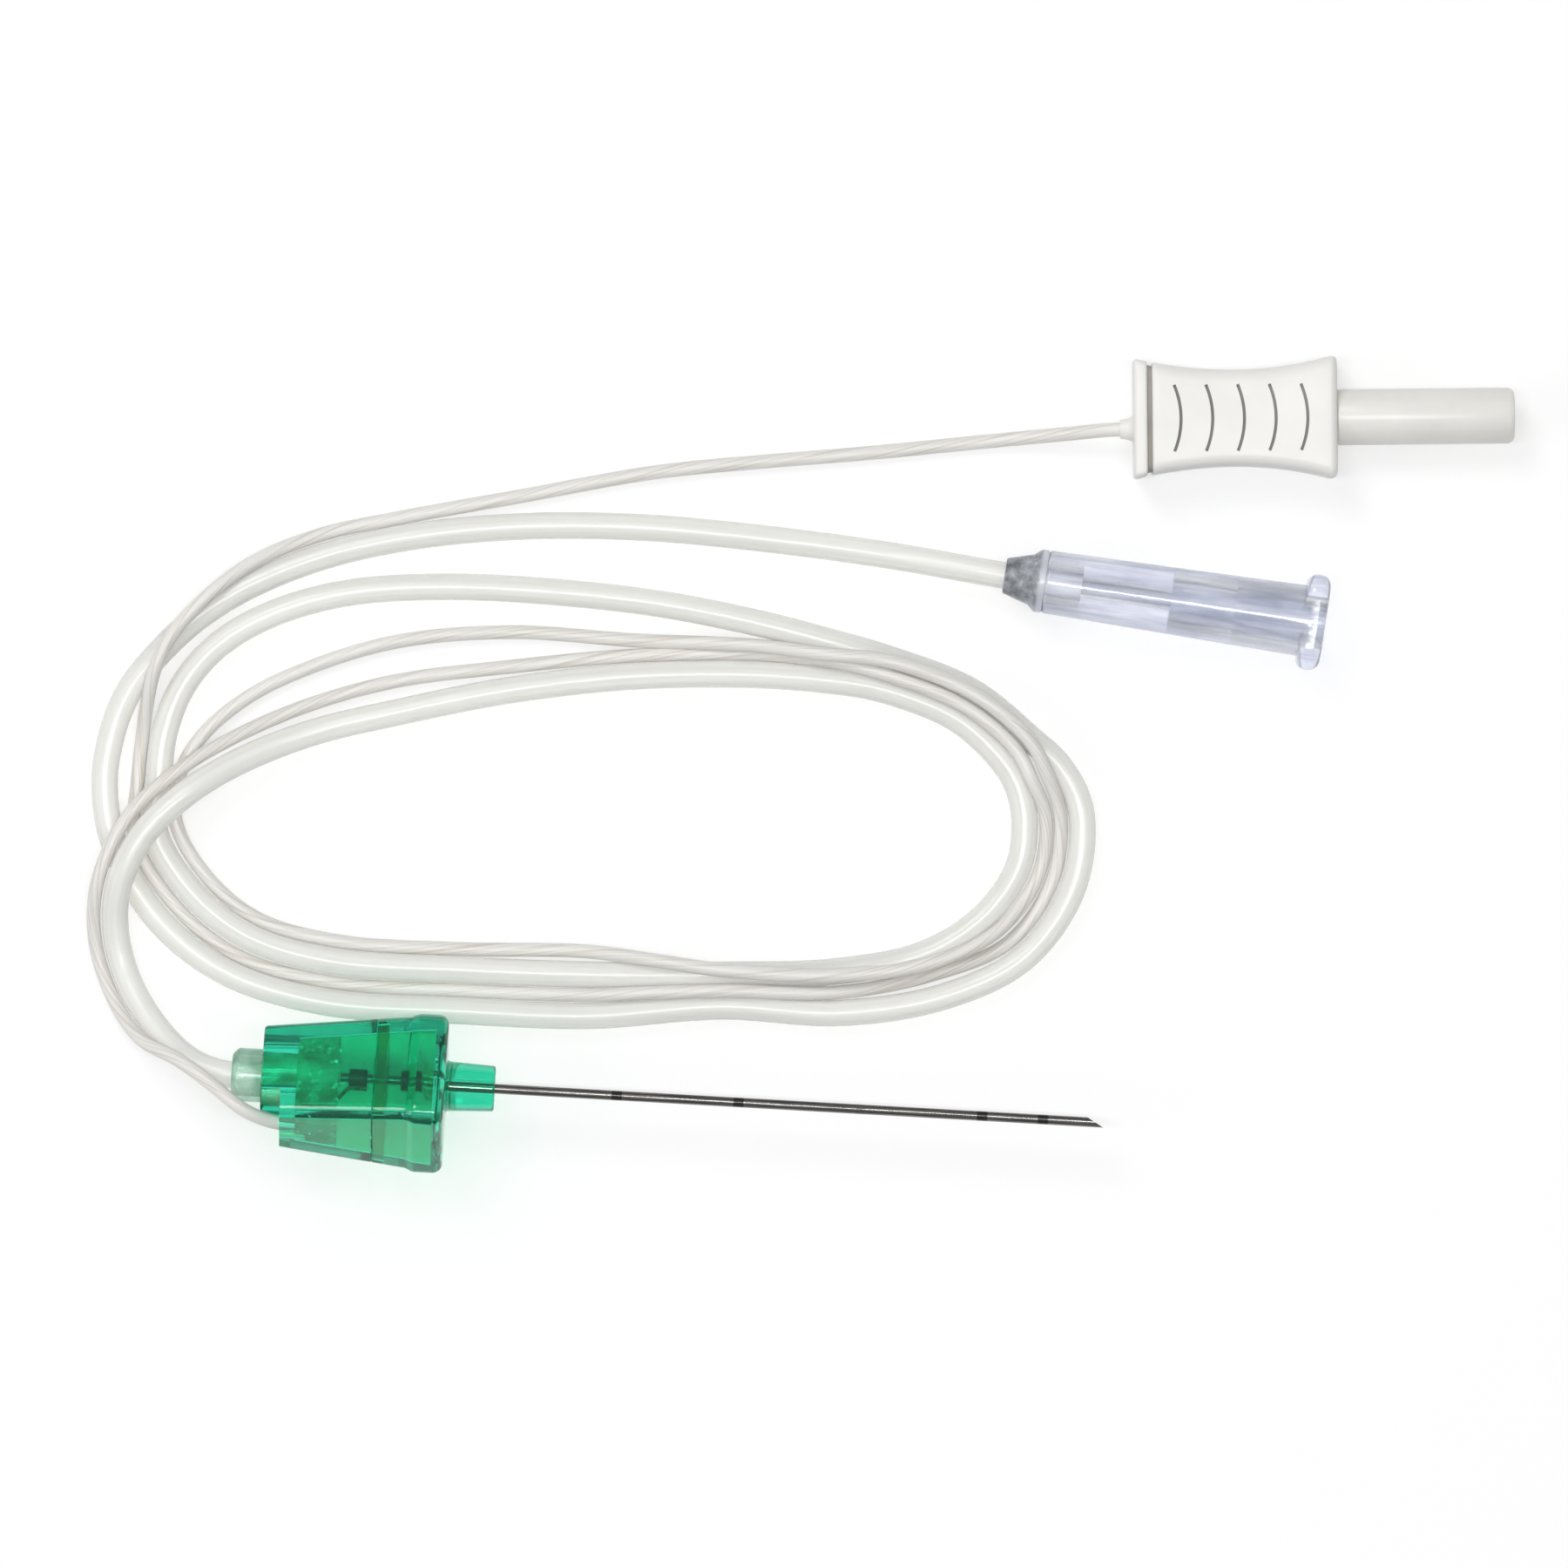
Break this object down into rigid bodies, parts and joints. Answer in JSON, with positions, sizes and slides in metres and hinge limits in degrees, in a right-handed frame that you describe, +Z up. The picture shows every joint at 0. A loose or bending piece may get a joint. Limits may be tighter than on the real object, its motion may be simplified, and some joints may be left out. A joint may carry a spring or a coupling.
{
  "type": "nerve block needle",
  "caption": "Insulated-lead nerve block needle: steel cannula in a see-through green hub, with an infusion tube ending in a female Luer and a stimulator lead ending in a shrouded plug.",
  "frame": {"origin": "on the floor under the middle of needle and hub: bottom centre of the box round them, without the tube, the lead and what is on them", "axes": "+X along the needle from hub to tip, +Z up from the floor the set lies on, +Y towards the coiled tube and lead"},
  "size_m": [0.1152, 0.0712, 0.013],
  "materials": {
    "needle_steel": "ground and polished, with fine dark depth bands",
    "hub_green": "polished, see-through emerald moulding",
    "gland_clear": "clear, pale green",
    "block_clear": "clear moulding",
    "dark_metal": "dull crimped steel",
    "wire_copper": "bare tinned copper strands",
    "resin_green": "clear adhesive with small bubbles",
    "tube_pvc": "soft, milky clear",
    "cable_white": "soft insulation, slight sheen",
    "sleeve_grey": "frosted grey",
    "luer_clear": "clear, faint violet tint",
    "grip_white": "fine satin moulding with grey lines in the finger grooves",
    "shroud_grey": "smooth light grey",
    "contact_brass": "turned, bright"
  },
  "bodies": {
    "root": {"cannula": "needle_steel", "front_shell": "hub_green", "rear_housing": "hub_green", "tube_gland": "gland_clear", "flow_block": "block_clear", "contact_sleeve": "dark_metal", "stop_collar": "dark_metal", "lead_conductor": "wire_copper", "potting": "resin_green", "infusion_tube": "tube_pvc", "lead_cable": "cable_white", "luer_sleeve": "sleeve_grey", "luer_body": "luer_clear", "plug_grip": "grip_white", "plug_shroud": "shroud_grey", "plug_contact": "contact_brass"}
  },
  "joints": []
}
